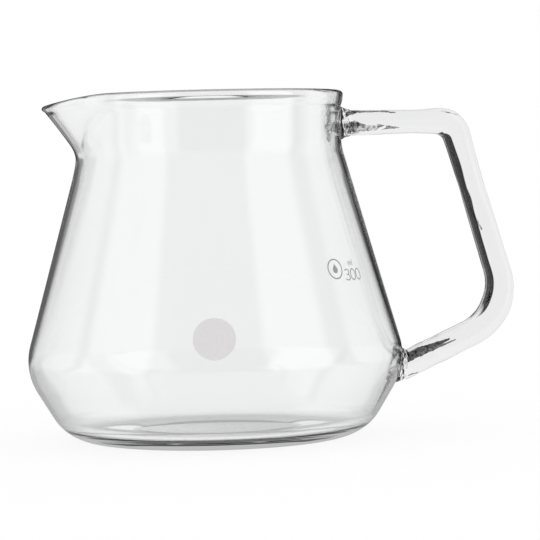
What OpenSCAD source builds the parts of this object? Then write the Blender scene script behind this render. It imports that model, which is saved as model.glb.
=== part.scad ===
// Glass coffee server: a blown vessel with a pulled spout and a solid glass handle fused on.
// Origin at the middle of the foot, +Z up, handle towards +X, spout towards -X.

/* [Body] */
// Outside diameter at the widest line
body_d = 101; // [96:0.2:106]
// Height of the widest line above the table
belly_z = 21.8; // [20:0.1:24]
// Outside rounding of the belly
belly_round = 16; // [14:0.1:19]
// Lean of the tapering upper wall from upright, in degrees
wall_lean = 15.7; // [15:0.1:16.2]
// Lean of the short lower wall from upright, in degrees
heel_lean = 31; // [28:0.1:33]
// Outside rounding between the lower wall and the foot
heel_round = 13.8; // [12.5:0.1:15.5]

/* [Neck and rim] */
// Height of the rim above the table
height = 93; // [92:0.1:95]
// Outside diameter of the neck
neck_d = 70.6; // [69.4:0.2:72]
// Outside rounding where the wall turns upright into the neck
neck_round = 15; // [12:0.5:24]
// Height of the short flared collar under the rim
collar_h = 4.4; // [3:0.1:5]
// How far the collar flares out
collar_flare = 0.7; // [0.2:0.1:1.2]
// Radius of the flame-rounded lip
lip_round = 1.1; // [0.9:0.05:1.3]

/* [Glass thickness] */
// Wall at the belly
belly_wall = 1; // [0.9:0.1:1.4]
// Wall at the neck
neck_wall = 2.3; // [2:0.1:2.6]
// Floor
floor_wall = 2.6; // [2:0.1:3.5]
// Rise of the push-up under the floor
push_up = 0.8; // [0.4:0.1:1.2]
// Radius of the push-up
push_up_r = 24; // [18:1:27]

/* [Spout] */
// How far the spout is pulled out past the rim
spout_pull = 9.4; // [8:0.1:10.4]
// How far the spout's tip drops below the rim
spout_drop = 2.6; // [1.6:0.1:3.4]
// Height where the spout starts to leave the neck
spout_z = 77; // [75:0.1:79]
// Half of the angle that the spout takes of the rim, in degrees
spout_half = 42; // [36:1:46]
// Half of that angle at the spout's foot, in degrees
spout_foot_half = 16; // [12:1:20]
// Fullness of the spout's sides: higher is a narrower beak
spout_beak = 1.8; // [1.4:0.1:2.2]
// Glass thickness at the spout's lip
spout_wall = 1.6; // [1.3:0.1:2]

/* [Handle] */
// Thickness of the bar, seen from the side
bar_t = 6.5; // [6:0.1:7]
// Width of the bar, seen from behind
bar_w = 9; // [8:0.1:10.5]
// Rounding along the bar's edges
bar_round = 2.8; // [2:0.1:3]
// Height of the upper arm
arm_z = 84.2; // [83.6:0.1:84.8]
// Distance of the upper corner from the vessel's axis
corner_x = 66.1; // [64.6:0.1:67.4]
// Lean of the grip from upright, in degrees
grip_lean = 16; // [14.5:0.1:17]
// Height of the lower corner
elbow_z = 31.3; // [30.4:0.1:32.4]
// Rise of the lower arm from the wall to the elbow, in degrees
arm_rise = 24.5; // [23:0.5:27]
// Bend radius at the upper corner, to the middle of the bar
corner_bend = 5.6; // [5.2:0.1:7]
// Bend radius at the elbow, to the middle of the bar
elbow_bend = 12.5; // [10:0.1:14]

/* [Joints] */
// Distance of the upper arm's seam from the vessel's axis
upper_seam_x = 38.4; // [38:0.1:39.5]
// Distance of the lower arm's seam from the vessel's axis
lower_seam_x = 52.3; // [52:0.1:53]
// How far a gather stands proud of the bar at its seam
seam_lip = 0.2; // [0.1:0.1:0.6]
// How much a gather spreads up and down towards the wall; sideways it spreads twice as much
gather_spread = 2.2; // [1.4:0.1:2.6]
// How far the wall swells inwards behind a joint
joint_swell = 1.8; // [1:0.1:2.4]

/* [Hidden] */

glass = [0.86, 0.93, 0.93, 0.45];
$fn = 128;
body_r = body_d / 2;
neck_r = neck_d / 2;

// The blown wall is a revolve up to loft_z, and a loft from there to the lip.
loft_z = 70;
// The loft's first ring stands this far inside the revolve's top face, so no edges cross.
ring_inset = 0.03;

// Belly and heel arcs of the outside, tangent to both leans and to the table
belly_x = body_r - belly_round;
foot_r = (belly_x * cos(heel_lean) - belly_z * sin(heel_lean) + belly_round
          - heel_round * (1 - sin(heel_lean))) / cos(heel_lean);

// Belly and heel arcs of the inside
inner_belly_round = belly_round - belly_wall;
inner_heel_round = heel_round - floor_wall;
inner_heel_z = floor_wall + inner_heel_round;
inner_heel_x = (belly_x * cos(heel_lean) - (belly_z - inner_heel_z) * sin(heel_lean)
                + inner_belly_round - inner_heel_round) / cos(heel_lean);

// Radius of the tapering wall's outside at height z
function cone_r(z) = belly_x + belly_round / cos(wall_lean) - (z - belly_z) * tan(wall_lean);

// Height where the neck is upright, after its arc leaves the tapering wall
neck_z = belly_z + (belly_x + belly_round / cos(wall_lean) - neck_r) / tan(wall_lean)
         + neck_round * tan(wall_lean / 2);
neck_arc_z = neck_z - neck_round * sin(wall_lean);

// Radius of the plain vessel's outside at height z, from the taper to the collar
function neck_curve(z) = z < neck_arc_z ? cone_r(z)
    : z < neck_z ? neck_r + neck_round - sqrt(neck_round ^ 2 - (neck_z - z) ^ 2)
    : neck_r;
function collar(z) = z < height - collar_h ? 0
    : collar_flare * sin(90 * min(1, (z - height + collar_h) / (collar_h - lip_round)));
function plain_r(z) = neck_curve(z) + collar(z);

// Point on an arc, with its angle from the horizontal
function on_arc(x, z, r, a) = [x + r * cos(a), z + r * sin(a)];

// Lean of the inside wall: the tangent from the neck's inside to the inner belly arc
neck_inner = [neck_curve(loft_z) - neck_wall, loft_z];
neck_reach = neck_inner - [belly_x, belly_z];
inner_lean = atan2(neck_reach[1], neck_reach[0]) - acos(inner_belly_round / norm(neck_reach));

// The push-up is a shallow dome, drawn in a few steps
dome_steps = 8;
function dome(z) = [for (i = [0:dome_steps]) [push_up_r * i / dome_steps,
                                              z + push_up * (1 - (i / dome_steps) ^ 2)]];

module outer_outline() {
    polygon([
        [0, 0],
        [foot_r, 0],
        on_arc(foot_r, heel_round, heel_round, -heel_lean),
        on_arc(belly_x, belly_z, belly_round, -heel_lean),
        on_arc(belly_x, belly_z, belly_round, wall_lean),
        [cone_r(loft_z), loft_z],
        [0, loft_z]
    ]);
    translate([foot_r, heel_round]) circle(heel_round);
    translate([belly_x, belly_z]) circle(belly_round);
}

module inner_outline() {
    polygon(concat(dome(floor_wall), [
        [inner_heel_x, floor_wall],
        on_arc(inner_heel_x, inner_heel_z, inner_heel_round, -heel_lean),
        on_arc(belly_x, belly_z, inner_belly_round, -heel_lean),
        on_arc(belly_x, belly_z, inner_belly_round, inner_lean),
        neck_inner,
        [neck_inner[0], loft_z + 1],
        [0, loft_z + 1]
    ]));
    translate([inner_heel_x, inner_heel_z]) circle(inner_heel_round);
    translate([belly_x, belly_z]) circle(inner_belly_round);
}

// Foot, belly and tapering wall
module lower_wall() {
    rotate_extrude() difference() {
        outer_outline();
        inner_outline();
        polygon(concat(dome(0), [[0, 0]]));
    }
}

// The loft: rings crowd together at the spout, where the rim bends most
ring_n = 80;
wall_steps = 13;
lip_steps = 6;
crowding = 28;
function ring_angle(i) = 360 * i / ring_n + crowding * sin(360 * i / ring_n);
function off_spout(a) = abs(a - 180);

// Share of the spout's pull at angle a: 1 at the tip, 0 past the half angle
function beak(a, half) = off_spout(a) >= half ? 0
    : cos(90 * off_spout(a) / half) ^ (2 * spout_beak);
function rim_beak(a) = beak(a, spout_half);

// Share of the pull at height z: a soft start, then a straight slope up to the lip
throat_soft = 1.2;
function soft_ramp(x) = (x + sqrt(x ^ 2 + throat_soft ^ 2)) / 2;
function throat(z) = soft_ramp(z - spout_z) / soft_ramp(height - spout_drop - lip_round - spout_z);
function half_at(z) = spout_foot_half
    + (spout_half - spout_foot_half) * max(0, min(1, (z - spout_z) / (height - collar_h - spout_z)));
function fade(z) = min(1, max(0, (z - loft_z) / (spout_z - loft_z)));
function pull(a, z) = spout_pull * throat(z) * fade(z) * beak(a, half_at(z));

// The wall swells inwards behind the upper joint
swell_half = 15;
swell_h = 6;
function hump(x) = abs(x) >= 1 ? 0 : (1 - x ^ 2) ^ 2;
function off_handle(a) = a > 180 ? a - 360 : a;
function swell(a, z) = joint_swell * hump(off_handle(a) / swell_half) * hump((z - arm_z) / swell_h);

function outer_r(a, z) = plain_r(z) + pull(a, z);
spout_lean = atan(spout_pull / (height - spout_z));
function lean_at(a) = spout_lean * rim_beak(a);
function lip_r(a) = lip_round + (spout_wall / 2 - lip_round) * rim_beak(a);
function level_wall(a, z) = neck_wall + (2 * lip_r(a) / cos(lean_at(a)) - neck_wall)
    * max(0, (z - spout_z) / (height - spout_z)) ^ 2;
function inner_r(a, z) = outer_r(a, z) - level_wall(a, z) - swell(a, z);

// Middle of the rounded lip at angle a
function lip_z(a) = height - spout_drop * rim_beak(a) - lip_r(a);
function lip_mid(a) = [outer_r(a, lip_z(a)) - lip_r(a) / cos(lean_at(a)), lip_z(a)];
function wall_z(a, share, side) = loft_z
    + (lip_z(a) + side * lip_r(a) * sin(lean_at(a)) - loft_z) * share;

// One closed section at angle a: up the outside, over the lip, down the inside
function outer_side(a) = [for (k = [0:wall_steps - 1])
    let (z = wall_z(a, k / wall_steps, -1)) [outer_r(a, z) - (k == 0 ? ring_inset : 0), z]];
function lip(a) = [for (k = [0:lip_steps])
    let (turn = 180 * k / lip_steps - lean_at(a)) lip_mid(a) + lip_r(a) * [cos(turn), sin(turn)]];
function inner_side(a) = [for (k = [wall_steps - 1:-1:0])
    let (z = wall_z(a, k / wall_steps, 1)) [inner_r(a, z) + (k == 0 ? 3 * ring_inset : 0), z]];
function section(a) = concat(outer_side(a), lip(a), inner_side(a));

function place(p, a) = [p[0] * cos(a), p[0] * sin(a), p[1]];
section_n = 2 * wall_steps + lip_steps + 1;
outer_n = wall_steps + 1;

// Two triangles for each step of a ring grid, n points to a section
function grid_faces(n, steps) = [for (i = [0:ring_n - 1]) for (k = [0:steps - 1])
    let (j = (i + 1) % ring_n, m = (k + 1) % n)
    each [[i * n + k, i * n + m, j * n + m], [i * n + k, j * n + m, j * n + k]]];

// Neck, collar, rim and pulled spout
module neck_and_spout() {
    points = [for (i = [0:ring_n - 1]) for (p = section(ring_angle(i))) place(p, ring_angle(i))];
    polyhedron(points, grid_faces(section_n, section_n), convexity = 6);
}

// The neck's outside, filled, from which the upper gather is cut to seat on the wall
module neck_core() {
    rings = [for (i = [0:ring_n - 1]) for (k = [0:outer_n - 1])
        place(section(ring_angle(i))[k], ring_angle(i))];
    ends = [[0, 0, loft_z], [0, 0, height - lip_round]];
    foot_fan = [for (i = [0:ring_n - 1]) [ring_n * outer_n, i * outer_n, ((i + 1) % ring_n) * outer_n]];
    top_fan = [for (i = [0:ring_n - 1])
        [ring_n * outer_n + 1, ((i + 1) % ring_n) * outer_n + outer_n - 1, i * outer_n + outer_n - 1]];
    polyhedron(concat(rings, ends), concat(grid_faces(outer_n, outer_n - 1), foot_fan, top_fan),
               convexity = 4);
}

// A round swelling on the inside of the belly, behind the lower joint
swell_r = 7;
module belly_swell() {
    ball = (swell_r ^ 2 + joint_swell ^ 2) / (2 * joint_swell);
    intersection() {
        translate([body_r - belly_wall - joint_swell + ball, 0, lower_seam_z]) sphere(ball);
        rotate_extrude() outer_outline();
    }
}

module vessel() {
    color(glass) {
        lower_wall();
        neck_and_spout();
        belly_swell();
    }
}

// Corner points of the bar's middle line in the plane of the loop, from wall to wall
corner = [corner_x, arm_z];
elbow = [corner_x + (arm_z - elbow_z) * tan(grip_lean), elbow_z];
lower_seam_z = elbow_z - (elbow[0] - lower_seam_x) * tan(arm_rise);
bar_path = [[upper_seam_x, arm_z], corner, elbow, [lower_seam_x, lower_seam_z]];
bar_bends = [0, corner_bend, elbow_bend, 0];
bend_steps = 12;

function along(a) = [cos(a), sin(a)];
function heading(i) = atan2(bar_path[i + 1][1] - bar_path[i][1], bar_path[i + 1][0] - bar_path[i][0]);
function right_turn(i) = (heading(i - 1) - heading(i) + 360) % 360;
function bend_start(i) = bar_path[i] - bar_bends[i] * tan(right_turn(i) / 2) * along(heading(i - 1));

// Stations of the middle line: [point, heading]
function bend_stations(i) = [for (k = [0:bend_steps])
    let (h = heading(i - 1) - right_turn(i) * k / bend_steps,
         middle = bend_start(i) + bar_bends[i] * along(heading(i - 1) - 90))
    [middle + bar_bends[i] * along(h + 90), h]];
stations = concat([[bar_path[0], heading(0)]], bend_stations(1), bend_stations(2),
                  [[bar_path[3], heading(2)]]);
walked = [for (i = 0, s = 0; i < len(stations);
               s = s + norm(stations[min(i + 1, len(stations) - 1)][0] - stations[i][0]), i = i + 1) s];
bar_length = walked[len(walked) - 1];

// Thickness along the bar: a little fuller at the seams and in the bends, as drawn glass is
function bar_t_at(s) = bar_t * lookup(s / bar_length,
    [[0, 1.05], [0.16, 0.95], [0.24, 1.12], [0.33, 0.99], [0.4, 0.96], [0.62, 0.98], [0.72, 1.16],
     [0.82, 1.06], [1, 1.08]]);

// Points round a rectangle t by w with corners of radius edge_r, in the plane across the bar
edge_steps = 6;
least_flat = 0.1;
function bar_section(t, w, edge_r) = [for (c = [0:3]) for (k = [0:edge_steps])
    let (a = 90 * c + 90 * k / edge_steps, sx = c == 0 || c == 3 ? 1 : -1, sy = c < 2 ? 1 : -1,
         r = min(edge_r, (min(t, w) - least_flat) / 2))
    [sx * (t / 2 - r) + r * cos(a), sy * (w / 2 - r) + r * sin(a)]];
bar_n = 4 * (edge_steps + 1);

// A section point at station i; the end stations slide along the bar to the upright seam
function on_bar(i, q) = let (
        h = stations[i][1],
        p = stations[i][0] + q[0] * along(h + 90),
        last = len(stations) - 1,
        slide = i == 0 || i == last ? (stations[i][0][0] - p[0]) / cos(h) : 0,
        seated = p + slide * along(h))
    [seated[0], q[1], seated[1]];

// The solid bar, lofted along its bends from the upper seam to the lower one
module handle() {
    last = len(stations) - 1;
    rings = [for (i = [0:last]) for (q = bar_section(bar_t_at(walked[i]), bar_w, bar_round)) on_bar(i, q)];
    sides = [for (i = [0:last - 1]) for (k = [0:bar_n - 1])
        let (m = (k + 1) % bar_n, a = i * bar_n, b = a + bar_n)
        each [[a + k, b + k, b + m], [a + k, b + m, a + m]]];
    ends = [[for (k = [0:bar_n - 1]) k], [for (k = [bar_n - 1:-1:0]) last * bar_n + k]];
    color(glass) polyhedron(rings, concat(sides, ends), convexity = 6);
}

// A gather of glass from its seam inwards, before the wall is cut from it
gather_depth = 6;
slab = 0.2;
module gather(seam_x, z, t) {
    translate([seam_x, 0, z]) rotate([0, -90, 0]) hull() {
        linear_extrude(slab)
            polygon(bar_section(t + 2 * seam_lip, bar_w + 2 * seam_lip, bar_round));
        translate([0, 0, gather_depth - slab]) linear_extrude(slab)
            polygon(bar_section(t + 2 * seam_lip + 2 * gather_spread,
                                bar_w + 2 * seam_lip + 4 * gather_spread, bar_round + gather_spread));
    }
}

module upper_joint() {
    color(glass) difference() {
        gather(upper_seam_x, arm_z, bar_t_at(0));
        neck_core();
    }
}

module lower_joint() {
    color(glass) difference() {
        gather(lower_seam_x, lower_seam_z, bar_t_at(bar_length) / cos(arm_rise));
        rotate_extrude() outer_outline();
    }
}

vessel();
handle();
upper_joint();
lower_joint();
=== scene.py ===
from math import acos, atan, atan2, cos, hypot, pi, radians, sin, sqrt, tan

import bmesh
import bpy
from bpy.props import FloatProperty, FloatVectorProperty, IntProperty, PointerProperty
from bpy.types import Operator, Panel, PropertyGroup
from mathutils import Matrix, Vector, noise


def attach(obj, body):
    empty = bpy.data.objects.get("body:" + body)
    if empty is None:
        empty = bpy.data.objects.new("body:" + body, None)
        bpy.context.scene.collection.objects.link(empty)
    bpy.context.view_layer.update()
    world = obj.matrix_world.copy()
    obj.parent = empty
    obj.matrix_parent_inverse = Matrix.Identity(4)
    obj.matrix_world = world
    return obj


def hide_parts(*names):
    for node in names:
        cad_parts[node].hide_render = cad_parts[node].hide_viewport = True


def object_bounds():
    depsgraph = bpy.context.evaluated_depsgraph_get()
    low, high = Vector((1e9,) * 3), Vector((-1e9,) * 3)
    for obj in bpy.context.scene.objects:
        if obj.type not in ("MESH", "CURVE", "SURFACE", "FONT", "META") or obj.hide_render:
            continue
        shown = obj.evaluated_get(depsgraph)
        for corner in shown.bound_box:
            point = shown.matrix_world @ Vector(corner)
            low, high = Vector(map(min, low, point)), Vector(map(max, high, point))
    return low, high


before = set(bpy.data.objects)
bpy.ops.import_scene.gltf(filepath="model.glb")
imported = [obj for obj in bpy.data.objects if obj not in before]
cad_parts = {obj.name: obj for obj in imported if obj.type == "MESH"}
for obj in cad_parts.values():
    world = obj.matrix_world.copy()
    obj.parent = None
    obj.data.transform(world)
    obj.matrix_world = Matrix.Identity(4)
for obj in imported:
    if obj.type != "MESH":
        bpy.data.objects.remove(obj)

bl_info = {
    "name": "Glass coffee server",
    "version": (1, 0, 0),
    "blender": (4, 5, 0),
    "location": "3D View > Sidebar > Server",
    "description": "Builds a blown glass server: vessel, handle, fused joints, printed marks and stage",
    "category": "Object",
}

MM = 0.001
CAD_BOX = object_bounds()


# Settings

class VesselSettings(PropertyGroup):
    """Outside shape and wall of the blown vessel."""
    diameter: FloatProperty(
        name="Body diameter", description="Outside diameter at the widest line",
        default=-2 * CAD_BOX[0].x, unit="LENGTH")
    height: FloatProperty(
        name="Height", description="Height of the rim above the table",
        default=CAD_BOX[1].z, unit="LENGTH")
    belly_z: FloatProperty(
        name="Belly height", description="Height of the widest line above the table",
        default=21.8 * MM, unit="LENGTH")
    belly_round: FloatProperty(
        name="Belly rounding", description="Outside rounding of the belly",
        default=16 * MM, unit="LENGTH")
    wall_lean: FloatProperty(
        name="Wall lean", description="Lean of the tapering upper wall from upright",
        default=radians(15.7), subtype="ANGLE")
    heel_lean: FloatProperty(
        name="Heel lean", description="Lean of the short lower wall from upright",
        default=radians(31), subtype="ANGLE")
    heel_round: FloatProperty(
        name="Heel rounding", description="Outside rounding between the lower wall and the foot",
        default=13.8 * MM, unit="LENGTH")
    inner_heel: FloatProperty(
        name="Inside heel", description="Inside rounding between the lower wall and the floor",
        default=6.2 * MM, unit="LENGTH")
    neck_diameter: FloatProperty(
        name="Neck diameter", description="Outside diameter of the neck",
        default=70.6 * MM, unit="LENGTH")
    neck_round: FloatProperty(
        name="Neck rounding", description="Outside rounding where the wall turns upright",
        default=15 * MM, unit="LENGTH")
    collar_height: FloatProperty(
        name="Collar height", description="Height of the flared collar under the rim",
        default=4.4 * MM, unit="LENGTH")
    collar_flare: FloatProperty(
        name="Collar flare", description="How far the collar flares out",
        default=0.7 * MM, unit="LENGTH")
    lip_round: FloatProperty(
        name="Lip rounding", description="Radius of the flame-rounded lip",
        default=1.1 * MM, unit="LENGTH")
    belly_wall: FloatProperty(
        name="Belly wall", description="Glass thickness at the belly",
        default=0.75 * MM, unit="LENGTH")
    neck_wall: FloatProperty(
        name="Neck wall", description="Glass thickness at the neck",
        default=2.3 * MM, unit="LENGTH")
    floor_wall: FloatProperty(
        name="Floor", description="Glass thickness of the floor",
        default=2.6 * MM, unit="LENGTH")
    push_up: FloatProperty(
        name="Push-up", description="Rise of the shallow dome under the floor",
        default=0.8 * MM, unit="LENGTH")
    push_up_radius: FloatProperty(
        name="Push-up radius", description="Radius of the shallow dome under the floor",
        default=24 * MM, unit="LENGTH")
    turns: IntProperty(
        name="Sections", description="Number of sections round the vessel", default=360, min=48)


class SpoutSettings(PropertyGroup):
    """The pouring spout, pulled out of the rim."""
    pull: FloatProperty(
        name="Pull", description="How far the spout is pulled out past the rim",
        default=9.4 * MM, unit="LENGTH")
    drop: FloatProperty(
        name="Drop", description="How far the spout's tip drops below the rim",
        default=2.6 * MM, unit="LENGTH")
    start_z: FloatProperty(
        name="Start", description="Height where the spout starts to leave the neck",
        default=77 * MM, unit="LENGTH")
    half_angle: FloatProperty(
        name="Half angle", description="Half of the angle that the spout takes of the rim",
        default=radians(42), subtype="ANGLE")
    foot_half_angle: FloatProperty(
        name="Foot half angle", description="Half of that angle at the spout's foot",
        default=radians(24), subtype="ANGLE")
    beak: FloatProperty(
        name="Beak", description="Higher is a narrower beak", default=1.8)
    wall: FloatProperty(
        name="Lip glass", description="Glass thickness at the spout's lip",
        default=1.6 * MM, unit="LENGTH")


class HandleSettings(PropertyGroup):
    """The solid bar, bent into an open loop."""
    thickness: FloatProperty(
        name="Thickness", description="Thickness of the bar, seen from the side",
        default=6.5 * MM, unit="LENGTH")
    width: FloatProperty(
        name="Width", description="Width of the bar, seen from behind",
        default=9 * MM, unit="LENGTH")
    rounding: FloatProperty(
        name="Rounding", description="Rounding along the bar's edges",
        default=2.8 * MM, unit="LENGTH")
    arm_z: FloatProperty(
        name="Upper arm height", description="Height of the upper arm's middle line",
        default=84.2 * MM, unit="LENGTH")
    corner_x: FloatProperty(
        name="Corner reach", description="Distance of the upper corner from the vessel's axis",
        default=66.1 * MM, unit="LENGTH")
    grip_lean: FloatProperty(
        name="Grip lean", description="Lean of the grip from upright",
        default=radians(15.8), subtype="ANGLE")
    elbow_z: FloatProperty(
        name="Elbow height", description="Height of the lower corner",
        default=31.3 * MM, unit="LENGTH")
    arm_rise: FloatProperty(
        name="Lower arm rise", description="Rise of the lower arm from the wall to the elbow",
        default=radians(24.5), subtype="ANGLE")
    corner_bend: FloatProperty(
        name="Corner bend", description="Bend radius at the upper corner",
        default=5.6 * MM, unit="LENGTH")
    elbow_bend: FloatProperty(
        name="Elbow bend", description="Bend radius at the elbow",
        default=14.3 * MM, unit="LENGTH")
    waviness: FloatProperty(
        name="Waviness", description="How far the drawn glass wanders from a straight bar",
        default=0.04 * MM, unit="LENGTH")
    flame_marks: FloatProperty(
        name="Flame marks", description="Depth of the waves that the flame has left near the seams",
        default=0.3 * MM, unit="LENGTH")


class JointSettings(PropertyGroup):
    """The two gathers of glass that fuse the handle to the wall."""
    upper_x: FloatProperty(
        name="Upper seam", description="Distance of the upper seam from the vessel's axis",
        default=38.4 * MM, unit="LENGTH")
    lower_x: FloatProperty(
        name="Lower seam", description="Distance of the lower seam from the vessel's axis",
        default=52.3 * MM, unit="LENGTH")
    seam_lip: FloatProperty(
        name="Seam lip", description="How far a gather stands proud of the bar at its seam",
        default=0.02 * MM, unit="LENGTH")
    spread: FloatProperty(
        name="Spread", description="How far a gather spreads up and down towards the wall",
        default=1.1 * MM, unit="LENGTH")
    side_spread: FloatProperty(
        name="Sideways spread", description="How far a gather spreads sideways towards the wall",
        default=1.2 * MM, unit="LENGTH")
    roughness: FloatProperty(
        name="Roughness", description="How uneven the flame has left a gather's flanks",
        default=0.3 * MM, unit="LENGTH")
    swell: FloatProperty(
        name="Swell", description="How far the wall swells inwards behind a joint",
        default=0.9 * MM, unit="LENGTH")


class GlassSettings(PropertyGroup):
    """Finish of the borosilicate glass."""
    colour: FloatVectorProperty(
        name="Glass colour", description="Colour that the glass gives to light passing through it",
        subtype="COLOR", default=(0.975, 0.978, 0.978), min=0, max=1)
    bar_colour: FloatVectorProperty(
        name="Bar colour", description="Colour that the solid bar gives to light passing through it",
        subtype="COLOR", default=(0.9, 0.902, 0.902), min=0, max=1)
    bend_of_light: FloatProperty(
        name="Refractive index", description="Refractive index of borosilicate glass", default=1.47)
    draw_lines: FloatProperty(
        name="Draw lines", description="Depth of the faint lines left by blowing and drawing",
        default=0.02 * MM, unit="LENGTH")
    # The rim's darker line is painted shade in the glass's colour, standing in for the dark line that the
    # rounded lip shows by bending light.
    painted_rim_clearness: FloatProperty(
        name="Rim clearness", description="Light that the melted rim lets through",
        default=0.3, min=0, max=1)
    painted_rim_depth: FloatProperty(
        name="Rim depth", description="Depth of the melted rim's darker line",
        default=0.55 * MM, unit="LENGTH")


class PrintSettings(PropertyGroup):
    """The fired marks printed on the outside of the wall."""
    ink: FloatVectorProperty(
        name="Mark colour", description="Colour of the level mark's ink",
        subtype="COLOR", default=(0.33, 0.33, 0.335), min=0, max=1)
    disc_ink: FloatVectorProperty(
        name="Disc colour", description="Colour of the printed disc",
        subtype="COLOR", default=(0.72, 0.705, 0.712), min=0, max=1)
    layer: FloatProperty(
        name="Ink thickness", description="Thickness of the fired ink",
        default=0.03 * MM, unit="LENGTH")
    disc_diameter: FloatProperty(
        name="Disc diameter", description="Diameter of the printed disc",
        default=10.9 * MM, unit="LENGTH")
    disc_turn: FloatProperty(
        name="Disc place", description="Angle of the disc from the front, towards the handle",
        default=radians(-5), subtype="ANGLE")
    disc_z: FloatProperty(
        name="Disc height", description="Height of the disc's middle above the table",
        default=29.85 * MM, unit="LENGTH")
    ring_diameter: FloatProperty(
        name="Level ring", description="Outside diameter of the ring round the drop",
        default=5.5 * MM, unit="LENGTH")
    ring_turn: FloatProperty(
        name="Ring place", description="Angle of the ring from the front, towards the handle",
        default=radians(40.4), subtype="ANGLE")
    ring_z: FloatProperty(
        name="Level height", description="Height of the ring's middle above the table",
        default=46.05 * MM, unit="LENGTH")
    digits_turn: FloatProperty(
        name="Digits place", description="Angle of the digits from the front, towards the handle",
        default=radians(49.3), subtype="ANGLE")
    digits_z: FloatProperty(
        name="Digits height", description="Height of the digits' middle above the table",
        default=44.4 * MM, unit="LENGTH")
    digit_height: FloatProperty(
        name="Digit size", description="Height of the digits",
        default=2.9 * MM, unit="LENGTH")
    unit_height: FloatProperty(
        name="Unit size", description="Height of the small unit above the digits",
        default=1.6 * MM, unit="LENGTH")


class StageSettings(PropertyGroup):
    """Floor, studio light and camera."""
    floor_size: FloatProperty(
        name="Floor size", description="Width and depth of the plain floor",
        default=12, unit="LENGTH")
    floor_colour: FloatVectorProperty(
        name="Floor colour", description="Colour of the plain floor",
        subtype="COLOR", default=(0.11, 0.11, 0.11), min=0, max=1)
    room: FloatProperty(
        name="Room", description="Brightness of the room that the glass mirrors", default=0.045)
    soft_box: FloatProperty(
        name="Soft boxes", description="Brightness of the two soft boxes that the glass mirrors",
        default=1.0)
    side_card: FloatProperty(
        name="Side cards", description="Brightness of the pale cards behind the glass, left and right",
        default=0.74)
    left_fill: FloatProperty(
        name="Left fill", description="Brightness of the dim fill behind the spout's side", default=0.09)
    rear_strip: FloatProperty(
        name="Rear strip", description="Brightness of the narrow strip behind the handle's side",
        default=0.5)
    backdrop: FloatProperty(
        name="Backdrop", description="Brightness of the backdrop straight behind the object",
        default=0.8)
    table_top: FloatProperty(
        name="Table top", description="Brightness of the table near the foot that the glass mirrors",
        default=0.5)
    gap_tone: FloatProperty(
        name="Gap", description="Brightness of the dark gap that the bar bends into view", default=0.025)
    swing: FloatProperty(
        name="Camera swing", description="How far the camera stands round towards the handle",
        default=radians(-6), subtype="ANGLE")
    distance: FloatProperty(
        name="Camera distance", description="Distance of the camera from the vessel's axis",
        default=689.9 * MM, unit="LENGTH")
    camera_x: FloatProperty(
        name="Camera across", description="Place of the camera along the handle's direction",
        default=15.25 * MM, unit="LENGTH")
    camera_z: FloatProperty(
        name="Camera height", description="Height of the camera above the table",
        default=73.2 * MM, unit="LENGTH")
    pitch: FloatProperty(
        name="Camera pitch", description="How far the camera looks down",
        default=radians(2.346), subtype="ANGLE")
    roll: FloatProperty(
        name="Camera roll", description="How far the object leans in the picture",
        default=radians(1.354), subtype="ANGLE")
    lens: FloatProperty(
        name="Lens", description="Focal length of the lens in millimetres", default=170.3)


# Shape of the blown wall

# Up to this height the wall is round; the spout and the upper swelling start above it
LOFT_Z = 70 * MM
# Length of the soft turn where the spout leaves the neck
THROAT_SOFT = 2.4 * MM
# Reach of the swellings behind the joints
SWELL_HALF = radians(15)
SWELL_HEIGHT = 6 * MM
BELLY_SWELL_RADIUS = 7 * MM
# Steps along a section of the wall
DOME_STEPS = 8
HEEL_STEPS = 14
BELLY_STEPS = 18
TAPER_STEPS = 24
NECK_STEPS = 40
LIP_STEPS = 14
# How much the sections crowd together at the spout and at the handle
CROWDING = 0.3


def arc(middle, radius, start, end, steps):
    """Points on an arc about middle, from one angle to the other, both ends included."""
    angles = [start + (end - start) * k / steps for k in range(steps + 1)]
    return [(middle[0] + radius * cos(a), middle[1] + radius * sin(a)) for a in angles]


def hump(x):
    """A smooth bump: 1 at 0, and 0 from 1 outwards."""
    return 0 if abs(x) >= 1 else (1 - x * x) ** 2


def clamp(x, low=0.0, high=1.0):
    """x, held between low and high."""
    return max(low, min(high, x))


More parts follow.
